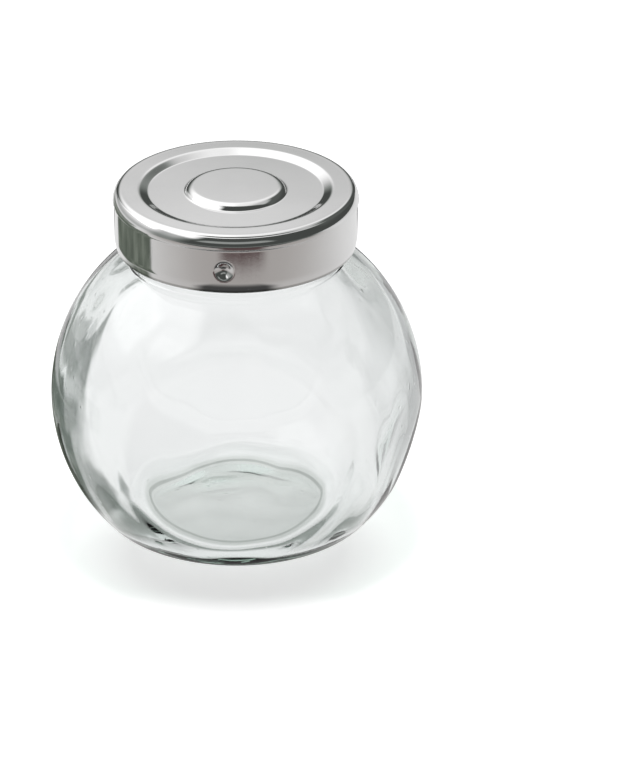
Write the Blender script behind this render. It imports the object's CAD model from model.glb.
"""Ball spice jar with a polished steel twist lid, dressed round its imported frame.

All lengths are in metres, in the frame of the model: Z up, base on Z = 0.
"""

import bpy
import math
import numpy as np
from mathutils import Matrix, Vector, noise


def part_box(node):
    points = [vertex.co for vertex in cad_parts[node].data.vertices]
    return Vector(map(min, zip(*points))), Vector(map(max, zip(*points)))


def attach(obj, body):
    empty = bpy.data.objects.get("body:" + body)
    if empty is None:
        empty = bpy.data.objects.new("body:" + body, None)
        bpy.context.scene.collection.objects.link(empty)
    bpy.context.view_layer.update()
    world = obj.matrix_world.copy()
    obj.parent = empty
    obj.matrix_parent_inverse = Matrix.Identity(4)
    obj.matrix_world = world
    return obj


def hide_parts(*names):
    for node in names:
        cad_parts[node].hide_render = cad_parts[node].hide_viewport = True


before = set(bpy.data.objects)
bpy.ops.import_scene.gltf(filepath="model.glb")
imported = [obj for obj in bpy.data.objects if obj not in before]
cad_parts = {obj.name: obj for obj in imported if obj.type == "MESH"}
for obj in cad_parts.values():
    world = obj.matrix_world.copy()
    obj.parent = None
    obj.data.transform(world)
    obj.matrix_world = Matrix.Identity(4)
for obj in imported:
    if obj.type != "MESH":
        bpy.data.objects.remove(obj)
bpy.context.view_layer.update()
jar_low, jar_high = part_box("glass_jar")
lid_low, lid_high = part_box("lid")
seal_low, seal_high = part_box("seal_ring")

mm = 0.001

# Glass ball
ball_radius = -jar_low.x
base_angle = 47.7
base_blend = 9.0 * mm
glass_wall = 2.6 * mm
floor_thickness = 4.0 * mm
floor_blend = 3.0 * mm
punt_radius = 17.6 * mm
punt_depth = 1.0 * mm

# Flats
side_reach = -jar_low.y
side_blend = 8.0 * mm
tilt_angle = 18.5
tilt_blend = 2.0 * mm
tilt_drop = math.radians(20)
inside_blend = 6.0 * mm

# How the inside of the glass settled in the mould
settled_thicker = 0.3 * mm
settled_swell = 0.35 * mm
swell_across = 9.0 * mm
swell_along = 26.0 * mm

# Neck and its twist ramps
jar_height = jar_high.z
neck_radius = 22.0 * mm
neck_wall = 2.2 * mm
shoulder_blend = 1.6 * mm
bore_blend = 2.0 * mm
lip_round = 0.8 * mm
ramp_count = 3
thread_lead = 13.5 * mm
ramp_sweep = 60.0
ramp_lead_in = 14.0
ramp_reach = 1.0 * mm
ramp_root = 1.9 * mm
ramp_tip = 0.8 * mm
ramp_fade = 7.0

# Lid
sheet = 0.3 * mm
rim_radius = lid_high.x
rim_round = 1.1 * mm
rim_slope = math.radians(50)
rim_fall = 3.5 * mm
rim_height = 2.8 * mm
skirt_inset = 0.22 * mm
rim_foot_round = 0.3 * mm
skirt_head_round = 0.1 * mm
panel_drop = 0.8 * mm
panel_edge_radius = 19.6 * mm
panel_slope = 1.8 * mm
disc_rise = 1.1 * mm
disc_radius = 9.6 * mm
disc_slope = 0.75 * mm
disc_round = 2.0 * mm
disc_foot_round = 0.35 * mm
panel_foot_round = 0.7 * mm
panel_round = 1.6 * mm
crown = 0.12 * mm
skirt_taper = 0.35 * mm
taper_height = 1.9 * mm
taper_round = 6.0 * mm
hem_width = 1.2 * mm
hem_height = 1.4 * mm
hem_round = 0.27 * mm
hem_shade = (0.81 * mm, 0.54 * mm)  # above the foot, where the hem's darker tone begins
dimple_drop = 7.575 * mm
dimple_angle = 265.0
dimple_push = 1.1 * mm
dimple_mouth = 2.1 * mm
dimple_power = 1.5
dimple_crowding = 0.6  # how much closer together the lid's columns lie at a dimple

# Seal
seal_inner_radius = 19.9 * mm
seal_round = 0.3 * mm

# Fineness of the meshes: the columns round each piece, and the steps along its section
jar_columns = 384
lid_columns = 420
seal_columns = 240
ball_pitch = 0.6 * mm
pressed_pitch = 0.3 * mm
neck_pitch = 0.2 * mm


def flat_reach(angle, blend):
    """From the middle of the ball to a flat whose blend meets the ball at an angle."""
    return blend + (ball_radius - blend) * math.cos(math.radians(angle))


ball_height = flat_reach(base_angle, base_blend)
lid_top = seal_high.z + sheet
skirt_radius = rim_radius - skirt_inset
skirt_foot = lid_low.z
bore_radius = neck_radius - neck_wall
dimple_height = lid_top - dimple_drop
ball_centre = np.array([0, 0, ball_height])
tilt_way = np.array([math.cos(tilt_drop), 0, -math.sin(tilt_drop)])
front_way = np.array([0, -1, 0])

# Camera, from the ball's outline in the photograph
picture_size = (640, 768)
ball_pixel = (236.9, 389.2)
ball_pixel_radius = 185.4  # of its silhouette
camera_lift = math.radians(25.8)
camera_distance = 1.4
sensor = 36.0  # width of the camera's sensor, in millimetres
table_radius = 600 * mm
table_corners = 96
lamp_place = (0.0, 160 * mm, 800 * mm)
lamp_size = 120 * mm
lamp_power = 4.0

# Outputs of the Light Path node, of which the first is for the camera's rays
shadow_rays = 1
diffuse_rays = 2
glossy_rays = 3
transmission_rays = 6

# Share of a lamp's light that the glass lets through into its shadow
shadow_clearness = 0.9

# Shapes on the table, for the pieces that mirror it. Across is to the right, along is
# away from the camera, and each edge runs from where a shape begins to where it is full.
light_edge = (-170 * mm, 130 * mm)
light_lean_edge = (20 * mm, 150 * mm)
light_lean = 45 * mm
dark_front_edge = (-280 * mm, -360 * mm)
back_strip_start = (135 * mm, 150 * mm)
back_strip_side = (65 * mm, 50 * mm)
green_slant = 0.10
green_ragged = 10 * mm
green_far_ragged = 120 * mm
green_side = (85 * mm, 92 * mm)
green_near = (105 * mm, 112 * mm)
green_far = (260 * mm, 240 * mm)
green_front = (-30 * mm, -20 * mm)
beside_side = (26 * mm, 34 * mm)
beside_front = (-12 * mm, 4 * mm)
beside_far = (115 * mm, 100 * mm)
far_left_near = (120 * mm, 160 * mm)
far_left_far = (520 * mm, 420 * mm)
far_left_front = (50 * mm, 90 * mm)
far_left_back = (500 * mm, 400 * mm)
far_left_depth = 0.85
red_ragged = 6 * mm
red_near = (169 * mm, 173 * mm)
red_bearing = 0.10
red_side = (0.42, 0.22)
red_front = (-50 * mm, -90 * mm)
close_far = (157 * mm, 80 * mm)
close_back = (-12 * mm, -35 * mm)
close_side = (61 * mm, 40 * mm)

# Shapes on the table, as the glass bends them into view
right_shade_edge = (22 * mm, 85 * mm)
right_shade_end = (130 * mm, 220 * mm)
limb_ragged = 6 * mm
limb_widens = (0.0, 26 * mm)
limb_start = (28.5 * mm, 43 * mm)
limb_blur = (2.5 * mm, 15 * mm)
limb_far = (115 * mm, 95 * mm)
limb_back = (140 * mm, 128 * mm)
limb_front = (-30 * mm, -12 * mm)
limb_slant = 0.30
limb_corner = (-32 * mm, -22 * mm)
shoulder_middle = 10 * mm
shoulder_inner = (28 * mm, 40 * mm)
shoulder_outer = (74 * mm, 66 * mm)
shoulder_start = (152 * mm, 170 * mm)
shoulder_side = (-20 * mm, 20 * mm)
contact_near = (26.5 * mm, 28.5 * mm)
contact_far = (45 * mm, 36 * mm)
contact_back = (-8 * mm, -14 * mm)
under_edge = (22.0 * mm, 20.3 * mm)
under_light_edge = (-12 * mm, 14 * mm)
foot_line = 19.0 * mm
foot_line_edge = (0.8 * mm, 0.3 * mm)

# Room, by the direction of a ray: side is to the right, depth away from the camera and
# height up, and each edge runs as above
room_level = 0.08
matt_dimming = 0.85
ceiling_rise = (0.19, 0.60)
ceiling_strength = 1.35
ceiling_front = (0.10, -0.08)
ceiling_slant = 0.6
ceiling_corner = (-0.95, -0.80)
right_half_edge = (-0.07, 0.07)
right_half_dimming = 0.22
far_right_edge = (0.12, 0.40)
far_right_dimming = 0.45
low_front_depth = (0.0, -0.2)
low_front_height = (0.62, 0.45)
low_front_dimming = 0.65
left_wall_slant = 0.2
left_wall_side = (-0.45, -0.62)
left_wall_strength = 1.05
left_wall_dim_share = 0.45
left_wall_rise = (0.05, 0.42)
left_wall_front = (-0.30, -0.02)
left_wall_end = (-0.75, -0.45)
right_wall_side = (0.26, 0.40)
right_wall_top = (0.82, 0.70)
right_wall_dimming = 0.92
below_edge = (-0.01, -0.04)
below_strength = 0.7
below_depth = (-0.35, 0.05)
below_front_share = 0.15
front_wall_depth = (-0.72, -0.80)
front_wall_foot = (0.28, 0.34)
front_wall_top = (0.56, 0.48)
front_wall_strength = 0.3
through_front = (-0.40, -0.70)
through_low = (0.34, 0.16)
through_strength = 0.86
box_side = (-0.55, -0.68)
box_foot = (0.33, 0.42)
box_top = (0.80, 0.70)
box_front = (-0.16, -0.06)
box_back = (0.52, 0.40)
box_strength = 1.2


class Signal:
    """A shader socket that adds up and multiplies like a number."""

    def __init__(self, shop, socket):
        self.shop = shop
        self.socket = socket

    def maths(self, operation, *others):
        return self.shop.node("Math", {"operation": operation}, dict(enumerate((self, *others))))

    def __add__(self, other):
        return self.maths("ADD", other)

    def __radd__(self, other):
        return self.maths("ADD", other)

    def __sub__(self, other):
        return self.maths("SUBTRACT", other)

    def __rsub__(self, other):
        return self.maths("MULTIPLY_ADD", -1, other)

    def __mul__(self, other):
        return self.maths("MULTIPLY", other)

    def __rmul__(self, other):
        return self.maths("MULTIPLY", other)

    def __truediv__(self, other):
        return self.maths("DIVIDE", other)

    def __rtruediv__(self, other):
        return other * self.maths("POWER", -1)

    def __abs__(self):
        return self.maths("ABSOLUTE")


class Shop:
    """The node tree of one material or world, filled from the shader back."""

    def __init__(self, owner):
        owner.use_nodes = True
        self.tree = owner.node_tree
        self.tree.nodes.clear()

    def node(self, kind, settings=None, inputs=None, output=0):
        """Adds a node: its settings first, then the values or links of its sockets."""
        node = self.tree.nodes.new("ShaderNode" + kind)
        for name, value in (settings or {}).items():
            setattr(node, name, value)
        for name, value in (inputs or {}).items():
            if isinstance(value, Signal):
                self.tree.links.new(value.socket, node.inputs[name])
            else:
                node.inputs[name].default_value = value
        return Signal(self, node.outputs[output])

    def place(self):
        """Where a point is on the piece, in metres."""
        return self.node("TexCoord", output=3)

    def split(self, vector):
        """The three numbers of a vector."""
        first = self.node("SeparateXYZ", None, {0: vector})
        return [Signal(self, output) for output in first.socket.node.outputs]

    def also(self, signal, output):
        """Another output of the node that a signal comes from."""
        return Signal(self, signal.socket.node.outputs[output])

    def stretch(self, vector, factors):
        return self.node("VectorMath", {"operation": "MULTIPLY"}, {0: vector, 1: factors})

    def grain(self, vector, scale, detail=2.0, roughness=0.5):
        """Noise of about a given number of cells in a metre, from 0 to 1."""
        sockets = {"Vector": vector, "Scale": scale, "Detail": detail, "Roughness": roughness}
        return self.node("TexNoise", None, sockets)

    def ramp(self, value, low, high, start=0.0, end=1.0):
        """A value's way from low to high, spread smoothly from start to end."""
        sockets = {0: value, 1: low, 2: high, 3: start, 4: end}
        return self.node("MapRange", {"interpolation_type": "SMOOTHSTEP"}, sockets)

    def colour(self, factor, first, second):
        settings = {"data_type": "RGBA"}
        return self.node("Mix", settings, {0: factor, 6: first, 7: second}, output=2)

    def finish(self, surface, volume=None, kind="OutputMaterial"):
        sockets = {"Surface": surface}
        if volume:
            sockets["Volume"] = volume
        node = self.tree.nodes.new("ShaderNode" + kind)
        for name, signal in sockets.items():
            self.tree.links.new(signal.socket, node.inputs[name])


def rgb(red, green, blue):
    return (red, green, blue, 1.0)


def new_material(name):
    material = bpy.data.materials.new(name)
    return material, Shop(material)


def clear_glass():
    """Pressed soda glass: a faint green body, soft waves and a few tiny seeds.

    Most of the lamp's light goes through it, so its shadow stays soft and pale.
    """
    material, shop = new_material("clear_glass")
    place = shop.place()
    waves = shop.grain(shop.stretch(place, (1.0, 1.0, 0.45)), 95.0, 2.0, 0.45)
    skin = shop.grain(place, 900.0, 1.0)
    specks = shop.ramp(shop.grain(place, 650.0, 0.0), 0.80, 0.86)
    height = waves + skin * 0.01 + specks * 0.25
    bump = shop.node("Bump", None, {"Strength": 0.25, "Distance": 0.3 * mm, "Height": height})
    smudge = shop.ramp(shop.grain(place, 60.0, 4.0, 0.6), 0.5, 0.8, 0.0, 0.035)
    tint = shop.colour(waves, rgb(0.992, 0.98, 0.986), rgb(0.999, 0.99, 0.994))
    shader = shop.node(
        "BsdfPrincipled",
        None,
        {
            "Base Color": tint,
            "Roughness": smudge,
            "IOR": 1.51,
            "Transmission Weight": 1.0,
            "Normal": bump,
        },
    )
    body = shop.node(
        "VolumeAbsorption", None, {"Color": rgb(0.55, 0.70, 0.63), "Density": 42.0}
    )
    clear = shop.node("BsdfTransparent", None, {"Color": rgb(0.97, 0.98, 0.975)})
    shadow = shop.also(shop.node("LightPath"), shadow_rays)
    shader = shop.node("MixShader", None, {0: shadow * shadow_clearness, 1: shader, 2: clear})
    shop.finish(shader, body)
    return material


def polished_steel():
    """Stainless sheet with a bright polish, faint turning marks and fine scratches."""
    material, shop = new_material("polished_steel")
    place = shop.place()
    clouds = shop.grain(place, 160.0, 4.0, 0.6)
    fine = shop.grain(shop.stretch(place, (1.0, 1.0, 6.0)), 2600.0, 2.0)
    buckle = shop.grain(place, 38.0, 1.0, 0.3)
    scratch_lines = shop.node(
        "TexNoise",
        None,
        {
            "Vector": shop.stretch(place, (1.0, 14.0, 1.0)),
            "Scale": 260.0,
            "Detail": 1.0,
            "Distortion": 0.6,
        },
    )
    scratches = shop.ramp(scratch_lines, 0.66, 0.72)
    roughness = 0.045 + clouds * 0.03 + scratches * 0.06
    bump = shop.node(
        "Bump",
        None,
        {"Strength": 0.06, "Distance": 0.02 * mm, "Height": fine + clouds * 2.0 + buckle * 90.0},
    )
    tint = shop.colour(clouds, rgb(0.71, 0.71, 0.71), rgb(0.77, 0.767, 0.765))
    hem = shop.ramp(shop.split(place)[2] - skirt_foot, *hem_shade)
    tint = shop.colour(hem, tint, rgb(0.45, 0.45, 0.44))
    shader = shop.node(
        "BsdfPrincipled",
        None,
        {"Base Color": tint, "Metallic": 1.0, "Roughness": roughness, "Normal": bump},
    )
    shop.finish(shader)
    return material


def seal_compound():
    """Off-white sealing compound, flowed in and slightly mottled."""
    material, shop = new_material("seal_compound")
    place = shop.place()
    mottle = shop.grain(place, 420.0, 4.0, 0.6)
    bump = shop.node("Bump", None, {"Strength": 0.3, "Distance": 0.05 * mm, "Height": mottle})
    tint = shop.colour(mottle, rgb(0.74, 0.72, 0.66), rgb(0.86, 0.85, 0.80))
    shader = shop.node(
        "BsdfPrincipled",
        None,
        {"Base Color": tint, "Roughness": 0.45 + mottle * 0.2, "Normal": bump},
    )
    shop.finish(shader)
    return material


def arc(centre, radius, start, end, pitch):
    """Points of an arc in a section, as (radius, height); angles in degrees."""
    count = max(6, round(abs(math.radians(end - start)) * radius / pitch))
    turns = np.radians(np.linspace(start, end, count + 1))
    return np.column_stack(
        (centre[0] + radius * np.cos(turns), centre[1] + radius * np.sin(turns))
    )


def straight(start, end, pitch):
    """Points of a straight stretch of a section."""
    count = max(1, round(math.dist(start, end) / pitch))
    return np.linspace(start, end, count + 1)


def joined(*stretches):
    """One section from stretches that meet end to end."""
    rest = [stretch[1:] for stretch in stretches[1:]]
    return np.vstack([stretches[0], *rest])


def rounded(points, rounds, pitch):
    """A section through points, with each inner corner rounded."""
    points = [np.array(point, float) for point in points]
    stretches = []
    begin = points[0]
    for before, corner, after, radius in zip(points, points[1:], points[2:], rounds):
        way_in = (corner - before) / np.linalg.norm(corner - before)
        way_out = (after - corner) / np.linalg.norm(after - corner)
        turn = math.acos(np.clip(way_in @ way_out, -1, 1))
        cut = radius * math.tan(turn / 2)
        side = np.sign(way_in[0] * way_out[1] - way_in[1] * way_out[0])
        normal = np.array([-way_in[1], way_in[0]]) * side
        first = corner - way_in * cut
        centre = first + normal * radius
        start = math.degrees(math.atan2(*(first - centre)[::-1]))
        bend = arc(centre, radius, start, start + side * math.degrees(turn), pitch / 2)
        stretches += [straight(begin, first, pitch), bend]
        begin = bend[-1]
    stretches.append(straight(begin, points[-1], pitch))
    return joined(*stretches)


def inset(section, distance):
    """The section moved sideways, to the right of its own direction."""
    along = np.gradient(section, axis=0)
    along /= np.linalg.norm(along, axis=1)[:, None]
    along[0] = (1, 0)
    return section + distance * np.column_stack((along[:, 1], -along[:, 0]))


def turned(section, bearings):
    """Grid of points: the section's rows swept through the bearings, in degrees."""
    angles = np.radians(bearings)
    radius, height = section[:, :1], section[:, 1:]
    flat = np.ones_like(angles)
    return np.stack((radius * np.cos(angles), radius * np.sin(angles), height * flat), axis=-1)


def skin(name, grid, material, poles=True):
    """A smooth closed mesh over a grid that goes all the way round.

    With poles the first and last rows are single points on the axis; without them
    the last row joins the first.
    """
    rows, columns = grid.shape[:2]
    if poles:
        points = np.vstack([grid[:1, 0], grid[1:-1].reshape(-1, 3), grid[-1:, 0]])
        last = len(points) - 1
        first_of = [1 + row * columns for row in range(rows - 2)]
    else:
        points = grid.reshape(-1, 3)
        first_of = [row * columns for row in range(rows)] + [0]
    faces = []
    for low, high in zip(first_of, first_of[1:]):
        for here in range(columns):
            there = (here + 1) % columns
            faces.append((low + here, low + there, high + there, high + here))
    if poles:
        top = first_of[-1]
        for here in range(columns):
            there = (here + 1) % columns
            faces.append((0, 1 + there, 1 + here))
            faces.append((last, top + here, top + there))
    mesh = bpy.data.meshes.new(name)
    mesh.from_pydata(points.tolist(), [], faces)
    mesh.shade_smooth()
    mesh.materials.append(material)
    piece = bpy.data.objects.new(name, mesh)
    bpy.context.scene.collection.objects.link(piece)
    return piece


def flattened(grid, radius, flats):
    """Presses flats into a ball of that radius: each is (way, reach, blend)."""
    points = grid - ball_centre
    for way, reach, blend in flats:
        depth = points @ way
        across = np.linalg.norm(points - depth[..., None] * way, axis=-1)
        disc = math.sqrt((radius - blend) ** 2 - (reach - blend) ** 2)
        meeting = disc * radius / (radius - blend)
        fall = np.clip(across - disc, 0, blend)
        level = reach - blend + np.sqrt(blend**2 - fall**2)
        pressed = np.where((depth > 0) & (across < meeting), level, depth)
        points = points + (pressed - depth)[..., None] * way
    return points + ball_centre


def uneven(grid):
    """Glass that settled unevenly in the mould: gentle swells, longer up and down."""
    points = grid - ball_centre
    stretch = np.array([1 / swell_across, 1 / swell_across, 1 / swell_along])
    swells = np.array(
        [noise.noise(Vector(point * stretch)) for point in points.reshape(-1, 3)]
    ).reshape(points.shape[:2])
    reach = np.linalg.norm(points, axis=-1)
    inwards = settled_thicker - settled_swell * swells
    return points * (1 - inwards / reach)[..., None] + ball_centre


def with_ramps(grid):
    """Raises the twist ramps on the neck."""
    bearing = np.degrees(np.arctan2(grid[..., 1], grid[..., 0]))
    height = grid[..., 2]
    rise = np.zeros_like(height)
    for number in range(ramp_count):
        start = dimple_angle + number * 360 / ramp_count
        turn = (bearing - start + 180) % 360 - 180
        middle = dimple_height + thread_lead / ramp_count / 2 + thread_lead * turn / 360
        ends = np.minimum(turn + ramp_lead_in, ramp_sweep - ramp_lead_in - turn)
        size = np.clip(ends / ramp_fade, 0, 1)
        size = size * size * (3 - 2 * size)
        slope = (ramp_root - ramp_tip) / 2
        flank = np.clip((ramp_root / 2 - abs(height - middle)) / slope, 0, 1)
        rise += ramp_reach * size * flank * flank * (3 - 2 * flank)
    swollen = grid.copy()
    swollen[..., :2] *= (1 + rise / np.hypot(grid[..., 0], grid[..., 1]))[..., None]
    return swollen


def with_dimples(grid):
    """Pushes the dimples into the skirt."""
    bearing = np.degrees(np.arctan2(grid[..., 1], grid[..., 0]))
    radius = np.hypot(grid[..., 0], grid[..., 1])
    push = np.zeros_like(radius)
    for number in range(ramp_count):
        centre = dimple_angle + number * 360 / ramp_count
        turn = np.radians((bearing - centre + 180) % 360 - 180)
        reach = np.hypot(turn * skirt_radius, grid[..., 2] - dimple_height) / dimple_mouth
        push += dimple_push * np.clip(1 - reach**2, 0, 1) ** dimple_power
    pressed = grid.copy()
    on_skirt = radius > skirt_radius - 2 * sheet
    pressed[..., :2] *= (1 - np.where(on_skirt, push / np.maximum(radius, sheet), 0))[..., None]
    return pressed


def crowded_bearings(count, crowding):
    """Bearings all round that lie closer together at the dimples."""
    even = np.linspace(0, 360, count, endpoint=False)
    swing = np.degrees(crowding / ramp_count * np.sin(np.radians(ramp_count * even)))
    return dimple_angle + even - swing


def glass_jar(material):
    """The ball, its neck with the twist ramps and its hollow, as one closed skin."""
    pitch, fine = ball_pitch, neck_pitch
    bearings = np.linspace(0, 360, jar_columns, endpoint=False)
    punt_reach = (punt_radius**2 + punt_depth**2) / (2 * punt_depth)
    punt_angle = math.degrees(math.asin(punt_radius / punt_reach))
    punt_centre = (0, punt_depth - punt_reach)
    heel_radius = math.sqrt(
        (ball_radius - base_blend) ** 2 - (ball_height - base_blend) ** 2
    )
    heel_angle = math.degrees(math.atan2(base_blend - ball_height, heel_radius))
    shoulder_radius = neck_radius + shoulder_blend
    shoulder_rise = math.sqrt((ball_radius + shoulder_blend) ** 2 - shoulder_radius**2)
    shoulder_angle = math.degrees(math.atan2(shoulder_rise, shoulder_radius))
    outside = joined(
        arc(punt_centre, punt_reach, 90, 90 - punt_angle, pitch),
        straight((punt_radius, 0), (heel_radius, 0), pitch),
        arc((heel_radius, base_blend), base_blend, -90, heel_angle, pitch),
        arc((0, ball_height), ball_radius, heel_angle, shoulder_angle, pitch),
    )
    outside[0, 0] = 0
    flats = [
        (front_way, side_reach, side_blend),
        (-front_way, side_reach, side_blend),
        (tilt_way, flat_reach(tilt_angle, tilt_blend), tilt_blend),
    ]
    ball = flattened(turned(outside, bearings), ball_radius, flats)

    shoulder_foot = ball_height + shoulder_rise
    lip_low = jar_height - lip_round
    throat_radius = bore_radius + bore_blend
    throat_rise = math.sqrt(
        (ball_radius - glass_wall + bore_blend) ** 2 - throat_radius**2
    )
    throat_angle = math.degrees(math.atan2(throat_rise, throat_radius))
    throat_height = ball_height + throat_rise
    neck = joined(
        arc((shoulder_radius, shoulder_foot), shoulder_blend, 180 + shoulder_angle, 180, fine),
        straight((neck_radius, shoulder_foot), (neck_radius, lip_low), fine),
        arc((neck_radius - lip_round, lip_low), lip_round, 0, 90, fine),
        arc((bore_radius + lip_round, lip_low), lip_round, 90, 180, fine),
        straight((bore_radius, lip_low), (bore_radius, throat_height), pitch),
        arc((throat_radius, throat_height), bore_blend, 180, 180 + throat_angle, fine),
    )
    on_outside = np.arange(len(neck)) < len(neck) / 2
    collar = turned(neck, bearings)
    collar[on_outside] = with_ramps(collar[on_outside])

    hollow_radius = ball_radius - glass_wall
    floor_radius = math.sqrt(
        (hollow_radius - floor_blend) ** 2
        - (ball_height - floor_thickness - floor_blend) ** 2
    )
    floor_level = floor_thickness + floor_blend
    floor_angle = math.degrees(math.atan2(floor_level - ball_height, floor_radius))
    inside = joined(
        arc((0, ball_height), hollow_radius, throat_angle, floor_angle, pitch),
        arc((floor_radius, floor_level), floor_blend, floor_angle, -90, pitch),
        straight((floor_radius, floor_thickness), (0, floor_thickness), pitch),
    )
    hollow_flats = [(way, reach - glass_wall, inside_blend) for way, reach, blend in flats]
    hollow = flattened(turned(inside, bearings), hollow_radius, hollow_flats)
    hollow = uneven(hollow)

    grid = np.concatenate([ball, collar[1:-1], hollow])
    return skin("clear_glass_jar", grid, material)


def steel_lid(material):
    """Pressed sheet: boss, panel, rim bead, skirt with dimples and a turned-in hem."""
    rim_top = lid_top - crown
    panel = rim_top - panel_drop
    rim_foot = rim_top - rim_height
    rim_chord = rim_round * math.tan(rim_slope / 2)
    rim_chord += rim_fall * math.tan((math.pi / 2 - rim_slope) / 2)
    outline = [
        (0, panel + disc_rise),
        (disc_radius, panel + disc_rise),
        (disc_radius + disc_slope, panel),
        (panel_edge_radius - panel_slope, panel),
        (panel_edge_radius, rim_top),
        (rim_radius - rim_chord * math.cos(rim_slope), rim_top),
        (rim_radius, rim_top - rim_chord * math.sin(rim_slope)),
        (rim_radius, rim_foot),
        (skirt_radius, rim_foot - skirt_inset),
        (skirt_radius, skirt_foot + taper_height),
        (skirt_radius - skirt_taper, skirt_foot),
        (skirt_radius - hem_width, skirt_foot),
        (skirt_radius - hem_width, skirt_foot + hem_height),
    ]
    rounds = [disc_round, disc_foot_round, panel_foot_round, panel_round, rim_round, rim_fall]
    rounds += [rim_foot_round, skirt_head_round, taper_round, hem_round, hem_round]
    outer = rounded(outline, rounds, pressed_pitch)
    outer[:, 1] += crown * np.clip(1 - (outer[:, 0] / (rim_radius - 2 * rim_round)) ** 2, 0, 1)
    inner = inset(outer, sheet)
    inner[0, 0] = 0
    section = np.vstack([inner, outer[::-1]])
    grid = with_dimples(turned(section, crowded_bearings(lid_columns, dimple_crowding)))
    return skin("polished_steel_lid", grid, material)


def seal_ring(material):
    """The flat ring between the lip and the lid."""
    corners = [
        (seal_inner_radius, seal_low.z),
        (seal_high.x, seal_low.z),
        (seal_high.x, seal_high.z),
        (seal_inner_radius, seal_high.z),
    ]
    middle = ((corners[0][0] + corners[1][0]) / 2, seal_low.z)
    path = [middle, *corners[1:], corners[0], middle]
    section = rounded(path, [seal_round] * 4, pressed_pitch)[:-1]
    grid = turned(section, np.linspace(0, 360, seal_columns, endpoint=False))
    return skin("seal_compound_ring", grid, material, poles=False)


def spot_on_table(shop):
    """Where a point of the table is: across, along, its distance, and a ragged noise."""
    place = shop.place()
    across, along = shop.split(place)[:2]
    distance = shop.node("VectorMath", {"operation": "LENGTH"}, {0: place}, output=1)
    ragged = shop.grain(place, 45.0, 3.0, 0.6) - 0.5
    return place, across, along, distance, ragged


def far_left_shade(shop, across, along):
    """The dark end of the table, far out on the left and behind."""
    shade = shop.ramp(-1 * across, *far_left_near) * shop.ramp(-1 * across, *far_left_far)
    shade = shade * shop.ramp(along, *far_left_front) * shop.ramp(along, *far_left_back)
    return shade * far_left_depth


def mirrored_table(shop):
    """The table's colour for what mirrors it: warm in front, light behind, dark shapes."""
    _, across, along, distance, ragged = spot_on_table(shop)
    lean = shop.ramp(-1 * across, *light_lean_edge, 0.0, light_lean)
    behind = shop.ramp(along + lean, *light_edge)
    tone = shop.colour(behind, rgb(0.47, 0.445, 0.43), rgb(0.88, 0.88, 0.88))
    tone = shop.colour(shop.ramp(along, *dark_front_edge), tone, rgb(0.06, 0.06, 0.06))
    strip = shop.ramp(along, *back_strip_start) * shop.ramp(abs(across), *back_strip_side)
    tone = shop.colour(strip, tone, rgb(0.05, 0.05, 0.05))

    green = shop.ramp(-1 * across - along * green_slant + ragged * green_ragged, *green_side)
    green = green * shop.ramp(distance, *green_near)
    green = green * shop.ramp(distance + ragged * green_far_ragged, *green_far)
    green = green * shop.ramp(along, *green_front)
    beside = shop.ramp(-1 * across, *beside_side) * shop.ramp(along, *beside_front)
    green = green.maths("MAXIMUM", beside * shop.ramp(distance, *beside_far))
    green = green.maths("MAXIMUM", far_left_shade(shop, across, along))
    mottle = shop.ramp(ragged, -0.1, 0.2)
    green_tone = shop.colour(mottle, rgb(0.12, 0.14, 0.115), rgb(0.25, 0.28, 0.235))
    tone = shop.colour(green, tone, green_tone)

    red = shop.ramp(distance + ragged * red_ragged, *red_near, 0.0, 0.95)
    red = red * shop.ramp(abs(across / distance - red_bearing), *red_side)
    red = red * shop.ramp(along, *red_front)
    tone = shop.colour(red, tone, rgb(0.10, 0.062, 0.062))

    close = shop.ramp(distance, *close_far) * shop.ramp(along, *close_back)
    close = close * shop.ramp(abs(across), *close_side)
    return shop.colour(close, tone, rgb(0.06, 0.06, 0.06))


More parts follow.
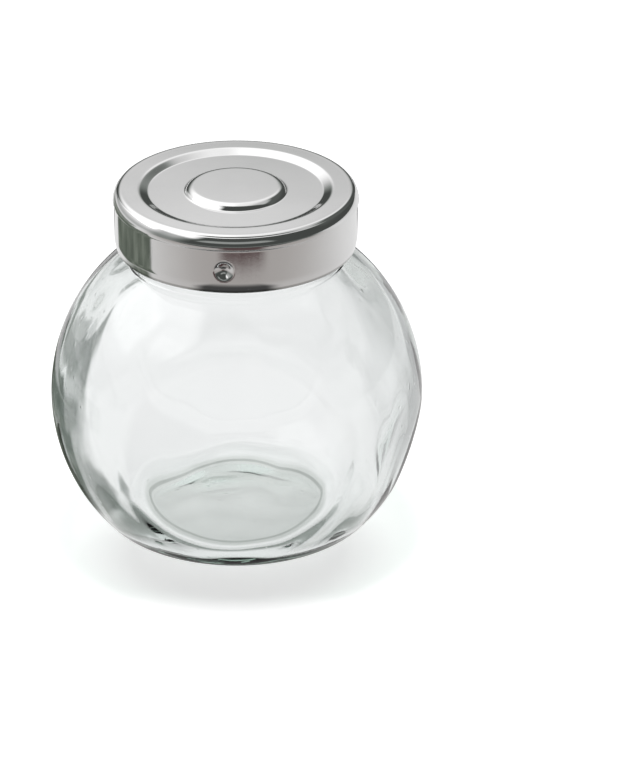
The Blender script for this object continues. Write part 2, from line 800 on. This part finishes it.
def table_through_glass(shop):
    """The table's colour through the glass: light, with the edges that the glass bends in."""
    place, across, along, distance, ragged = spot_on_table(shop)
    streaks = shop.grain(shop.stretch(place, (1.0, 0.4, 1.0)), 120.0, 3.0, 0.6)
    right = shop.ramp(across, *right_shade_edge, 0.0, 0.62)
    right = right * shop.ramp(across, *right_shade_end, 1.0, 0.25)
    tone = shop.colour(right, rgb(1.05, 1.05, 1.06), rgb(0.10, 0.105, 0.11))

    start = shop.ramp(along, *limb_widens, *limb_start)
    depth = (-1 * across - start + ragged * limb_ragged) / shop.ramp(along, *limb_widens, *limb_blur)
    limb = shop.ramp(depth, 0.0, 1.0) * shop.ramp(-1 * across, *limb_far)
    limb = limb * shop.ramp(along, *limb_back) * shop.ramp(along, *limb_front)
    limb = limb * shop.ramp(along + across * limb_slant, *limb_corner)
    limb = limb * shop.ramp(streaks, 0.40, 0.60, 1.0, 0.93)
    limb = limb.maths("MAXIMUM", far_left_shade(shop, across, along))
    aside = abs(across - shoulder_middle)
    shoulders = shop.ramp(aside, *shoulder_inner) * shop.ramp(aside, *shoulder_outer)
    shoulders = shoulders * shop.ramp(along, *shoulder_start)
    shoulders = shoulders * shop.ramp(streaks, 0.44, 0.58, 0.9, 0.45)
    shoulders = shoulders * shop.ramp(across, *shoulder_side, 1.0, 0.4)
    tone = shop.colour(limb.maths("MAXIMUM", shoulders), tone, rgb(0.12, 0.145, 0.13))

    contact = shop.ramp(distance, *contact_near) * shop.ramp(distance, *contact_far, 0.0, 0.85)
    contact = contact * shop.ramp(along, *contact_back)
    tone = shop.colour(contact, tone, rgb(0.19, 0.22, 0.20))
    lighter = shop.ramp(along, *under_light_edge)
    under_tone = shop.colour(lighter, rgb(0.66, 0.68, 0.67), rgb(0.82, 0.84, 0.83))
    tone = shop.colour(shop.ramp(distance, *under_edge), tone, under_tone)
    line = shop.ramp(abs(distance - foot_line), *foot_line_edge, 0.0, 0.5)
    return shop.colour(line, tone, rgb(0.19, 0.22, 0.20))


def table():
    """A plain pale table that keeps the jar's soft shadow.

    Polished steel and glass see it as it lies in the room, with darker shapes round it.
    """
    material, shop = new_material("pale_table")
    matt = shop.node("BsdfDiffuse", None, {"Color": rgb(0.84, 0.84, 0.84)})
    glow = shop.node("Emission", None, {"Color": rgb(1, 1, 1), "Strength": 0.60})
    lifted = shop.node("AddShader", None, {0: matt, 1: glow})
    mirrored = shop.node("Emission", None, {"Color": mirrored_table(shop), "Strength": 1.0})
    glassy = shop.node("Emission", None, {"Color": table_through_glass(shop), "Strength": 1.0})
    glassy = shop.node("MixShader", None, {0: 0.95, 1: matt, 2: glassy})

    rays = shop.node("LightPath")
    passed = shop.also(rays, transmission_rays)
    bounced = shop.also(rays, glossy_rays) * (1 - passed)
    seen = shop.node("MixShader", None, {0: rays, 1: matt, 2: lifted})
    seen = shop.node("MixShader", None, {0: passed, 1: seen, 2: glassy})
    shop.finish(shop.node("MixShader", None, {0: bounced, 1: seen, 2: mirrored}))

    mesh = bpy.data.meshes.new("table")
    rim = [
        (table_radius * math.cos(turn), table_radius * math.sin(turn), 0)
        for turn in np.linspace(0, math.tau, table_corners, endpoint=False)
    ]
    mesh.from_pydata(rim, [], [tuple(range(table_corners))])
    mesh.materials.append(material)
    piece = bpy.data.objects.new("table", mesh)
    bpy.context.scene.collection.objects.link(piece)


def ceiling(shop, side, depth, height):
    """The light ceiling, which fades towards the front and the right."""
    front = shop.ramp(depth, *ceiling_front)
    front = front * shop.ramp(side - height * ceiling_slant, *ceiling_corner)
    light = shop.ramp(height, *ceiling_rise, 0.0, ceiling_strength) * (1 - front)
    light = light * (1 - shop.ramp(side, *right_half_edge, 0.0, right_half_dimming))
    light = light * (1 - shop.ramp(side, *far_right_edge, 0.0, far_right_dimming))
    low_front = shop.ramp(depth, *low_front_depth)
    low_front = low_front * shop.ramp(height, *low_front_height, 0.0, low_front_dimming)
    return light * (1 - low_front)


def left_wall(shop, side, depth, height):
    """The light wall on the left, dimmer low down and at both ends."""
    lean = side + height * left_wall_slant
    light = shop.ramp(lean, *left_wall_side, 0.0, left_wall_strength)
    light = light * shop.ramp(height, *left_wall_rise, left_wall_dim_share, 1.0)
    light = light * shop.ramp(depth, *left_wall_front, left_wall_dim_share, 1.0)
    return light * shop.ramp(depth, *left_wall_end)


def soft_box(shop, side, depth, height):
    """A soft box high on the left."""
    light = shop.ramp(side, *box_side) * shop.ramp(height, *box_foot)
    light = light * shop.ramp(height, *box_top) * shop.ramp(depth, *box_front)
    return light * shop.ramp(depth, *box_back) * box_strength


def studio():
    """A room with a light ceiling, a light wall and a soft box on the left, dim elsewhere.

    A ray's direction is its side, to the right, its depth, away from the camera, and
    its height.
    """
    world = bpy.data.worlds.new("studio")
    bpy.context.scene.world = world
    shop = Shop(world)
    side, depth, height = shop.split(shop.node("TexCoord", output=0))
    rays = shop.node("LightPath")
    passed = shop.also(rays, transmission_rays)
    bounced = shop.also(rays, glossy_rays) * (1 - passed)

    lit = ceiling(shop, side, depth, height)
    lit = lit.maths("MAXIMUM", left_wall(shop, side, depth, height))
    right_wall = shop.ramp(side, *right_wall_side) * shop.ramp(height, *right_wall_top)
    lit = lit * (1 - right_wall * right_wall_dimming)
    below = shop.ramp(height, *below_edge, 0.0, below_strength)
    below = below * shop.ramp(depth, *below_depth, below_front_share, 1.0)
    lit = lit.maths("MAXIMUM", below)
    front_wall = shop.ramp(height, *front_wall_foot, 0.0, front_wall_strength)
    front_wall = front_wall * shop.ramp(height, *front_wall_top)
    lit = lit.maths("MAXIMUM", front_wall * shop.ramp(depth, *front_wall_depth))

    # Glass shows the pale background low down and towards the front
    through = shop.ramp(depth, *through_front)
    through = through.maths("MAXIMUM", shop.ramp(height, *through_low))
    level = room_level + lit + soft_box(shop, side, depth, height) * bounced
    level = level.maths("MAXIMUM", through * passed * through_strength)
    shade = shop.colour(shop.ramp(level, 0.0, 0.8), rgb(0.92, 1.0, 0.94), rgb(1, 1, 1))
    level = level * (1 - matt_dimming * shop.also(rays, diffuse_rays))
    seen = shop.node("Background", None, {"Color": rgb(1, 1, 1), "Strength": 1.0})
    room = shop.node("Background", None, {"Color": shade, "Strength": level})
    surface = shop.node("MixShader", None, {0: rays, 1: room, 2: seen})
    shop.finish(surface, kind="OutputWorld")


def lamp(name, place, size, power):
    """A square lamp aimed at the middle of the table, which nothing mirrors."""
    light = bpy.data.lights.new(name, "AREA")
    light.size = size
    light.energy = power
    lamp = bpy.data.objects.new(name, light)
    lamp.location = place
    lamp.rotation_euler = (-Vector(place)).to_track_quat("-Z", "Y").to_euler()
    lamp.visible_glossy = False
    lamp.visible_transmission = False
    bpy.context.scene.collection.objects.link(lamp)


def camera():
    """A long lens that sees the ball where and as large as the photograph does."""
    data = bpy.data.cameras.new("camera")
    data.sensor_width = sensor
    outline = ball_radius / math.sqrt(1 - (ball_radius / camera_distance) ** 2)
    pixels_per_metre = ball_pixel_radius / outline
    data.lens = sensor * camera_distance * pixels_per_metre / max(picture_size)
    back = Vector((0, -math.cos(camera_lift), math.sin(camera_lift)))
    right = Vector((1, 0, 0))
    up = back.cross(right)
    aim = Vector(ball_centre)
    aim += right * (picture_size[0] / 2 - ball_pixel[0]) / pixels_per_metre
    aim += up * (ball_pixel[1] - picture_size[1] / 2) / pixels_per_metre
    piece = bpy.data.objects.new("camera", data)
    piece.location = aim + back * camera_distance
    piece.rotation_euler = (-back).to_track_quat("-Z", "Y").to_euler()
    bpy.context.scene.collection.objects.link(piece)
    bpy.context.scene.camera = piece


table()
studio()
lamp("window", lamp_place, lamp_size, lamp_power)
camera()
bpy.context.scene.view_settings.view_transform = "Standard"

for make, material, slot, node, body in (
    (glass_jar, clear_glass(), "clear_glass", "glass_jar", "jar"),
    (seal_ring, seal_compound(), "seal_compound", "seal_ring", "seal"),
    (steel_lid, polished_steel(), "polished_steel", "lid", "lid"),
):
    piece = make(material)
    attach(piece, body)
    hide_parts(node)
